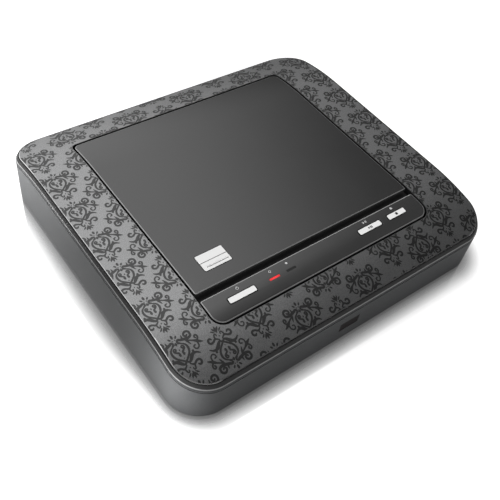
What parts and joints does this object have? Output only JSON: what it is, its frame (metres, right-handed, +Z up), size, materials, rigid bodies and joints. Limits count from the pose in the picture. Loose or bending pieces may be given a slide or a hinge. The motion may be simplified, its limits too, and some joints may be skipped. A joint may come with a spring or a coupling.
{
  "type": "top-loading disc player",
  "caption": "Low square top-loading disc player with a crowned top, patterned metal inlay, glossy rear-hinged lid, control bar, turntable and pickup sled.",
  "frame": {"origin": "on the table, under the middle of the case", "axes": "+Z up, the front with the control bar faces -Y, +X to the right seen from the front"},
  "size_m": [0.2472, 0.2252, 0.043],
  "materials": {
    "case_paint": "fine metallic lacquer, satin",
    "printed_metal": "fine grained metallic sheet with a darker printed ornament",
    "gloss_black": "glossy dark grey",
    "black_plastic": "matt black moulding",
    "grey_plastic": "matt dark grey moulding",
    "white_gloss": "white, satin gloss",
    "red_light": "red light pipe",
    "dark_light": "unlit light pipe",
    "ir_plastic": "dark infrared window",
    "steel": "plain steel",
    "zinc_plate": "zinc plated sheet",
    "rubber": "soft black rubber",
    "board_green": "solder mask",
    "component_black": "moulded components",
    "pom_white": "natural acetal gears",
    "glass": "coated lens",
    "nickel": "nickel plated"
  },
  "bodies": {
    "case": {"base_housing": "case_paint", "top_cover": "case_paint", "decor_plate": "printed_metal", "disc_well": "grey_plastic", "hinge_pins": "steel", "latch_unit": "black_plastic", "control_panel": "gloss_black", "control_board": "board_green", "tact_switches": "component_black", "indicator_leds": "glass", "standby_light": "red_light", "on_light": "dark_light", "ir_window": "ir_plastic", "ir_board": "board_green", "ir_receiver": "component_black", "mech_plate": "zinc_plate", "rubber_bobbins": "rubber", "mech_screws": "steel", "spindle_motor": "zinc_plate", "guide_rods": "steel", "rod_clamps": "black_plastic", "sled_motor": "zinc_plate", "main_board": "board_green", "main_board_parts": "component_black", "power_board": "board_green", "power_board_parts": "component_black", "jack_block": "black_plastic", "jack_shells": "nickel", "mains_inlet": "black_plastic", "inlet_pins": "nickel", "rubber_feet": "rubber", "case_screws": "steel"},
    "lid": {"lid_panel": "gloss_black", "lid_inner": "black_plastic"},
    "opener": {"open_button": "white_gloss"},
    "power_key": {"power_button": "white_gloss"},
    "play_key": {"play_button": "white_gloss"},
    "stop_key": {"stop_button": "white_gloss"},
    "spindle": {"turntable": "black_plastic", "turntable_mat": "rubber", "chuck_balls": "steel"},
    "sled": {"pickup_sled": "black_plastic", "objective_lens": "glass", "laser_block": "nickel", "sled_rack": "pom_white"},
    "idler": {"idler_gear": "pom_white"},
    "pinion": {"motor_pinion": "pom_white"}
  },
  "joints": [
    {"name": "lid_hinge", "type": "hinge", "parent": "case", "child": "lid", "pos_m": [0, 0.0826, 0.03634], "axis": [-1, 0, 0], "range_deg": [0, 65]},
    {"name": "opener_press", "type": "slide", "parent": "lid", "child": "opener", "axis": [0, 0, -1], "range_m": [0, 0.0006], "stiffness_N_per_m": 900},
    {"name": "power_press", "type": "slide", "parent": "case", "child": "power_key", "axis": [0, 0, -1], "range_m": [0, 0.0005], "stiffness_N_per_m": 1200},
    {"name": "play_press", "type": "slide", "parent": "case", "child": "play_key", "axis": [0, 0, -1], "range_m": [0, 0.0005], "stiffness_N_per_m": 1200},
    {"name": "stop_press", "type": "slide", "parent": "case", "child": "stop_key", "axis": [0, 0, -1], "range_m": [0, 0.0005], "stiffness_N_per_m": 1200},
    {"name": "spindle_spin", "type": "hinge", "parent": "case", "child": "spindle", "pos_m": [0, 0.0115, 0.03], "axis": [0, 0, 1], "continuous": true},
    {"name": "sled_travel", "type": "slide", "parent": "case", "child": "sled", "axis": [1, 0, 0], "range_m": [0, 0.035]},
    {"name": "idler_spin", "type": "hinge", "parent": "case", "child": "idler", "pos_m": [0.0415, -0.0213, 0.0245], "axis": [0, 0, 1], "range_deg": [-362, 4]},
    {"name": "pinion_spin", "type": "hinge", "parent": "case", "child": "pinion", "pos_m": [0.0231, -0.0213, 0.0245], "axis": [0, 0, 1], "range_deg": [-10, 1295]}
  ],
  "couplings": [
    {"joint": "idler_spin", "follows": "sled_travel", "rad_per_m": -178.57},
    {"joint": "pinion_spin", "follows": "sled_travel", "rad_per_m": 642.86}
  ]
}
